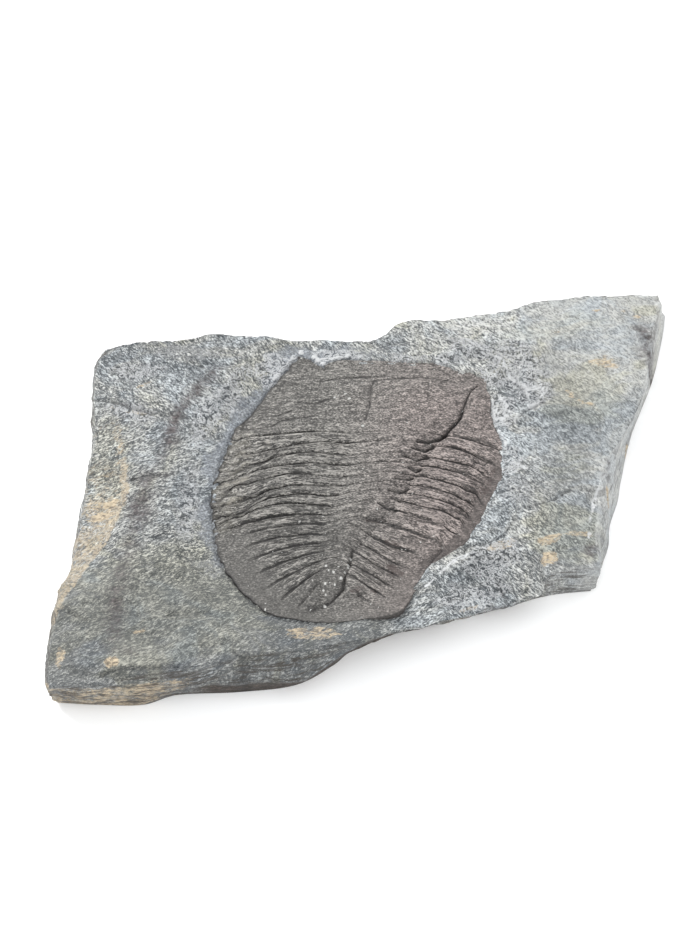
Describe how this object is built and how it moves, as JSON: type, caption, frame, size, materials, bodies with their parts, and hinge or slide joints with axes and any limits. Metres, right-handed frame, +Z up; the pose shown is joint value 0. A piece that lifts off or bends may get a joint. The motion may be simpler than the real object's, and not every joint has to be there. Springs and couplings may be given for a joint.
{
  "type": "trilobite fossil",
  "caption": "Trilobite fossil lying in a thin broken slab of grey mudstone, with ribbed thorax and tail beside a smooth carved bank.",
  "frame": {"origin": "centre of the bounding box at the slab's underside", "axes": "+Z up out of the slab's top face, +X along the slab's longest extent, +Y from the trilobite's tail side towards its head side"},
  "size_m": [0.1074, 0.0896, 0.0084],
  "materials": {
    "mudstone": "rough split stone",
    "fossil_shell": "fine-grained satin stone"
  },
  "bodies": {
    "root": {"matrix_slab": "mudstone", "trilobite": "fossil_shell"}
  },
  "joints": []
}
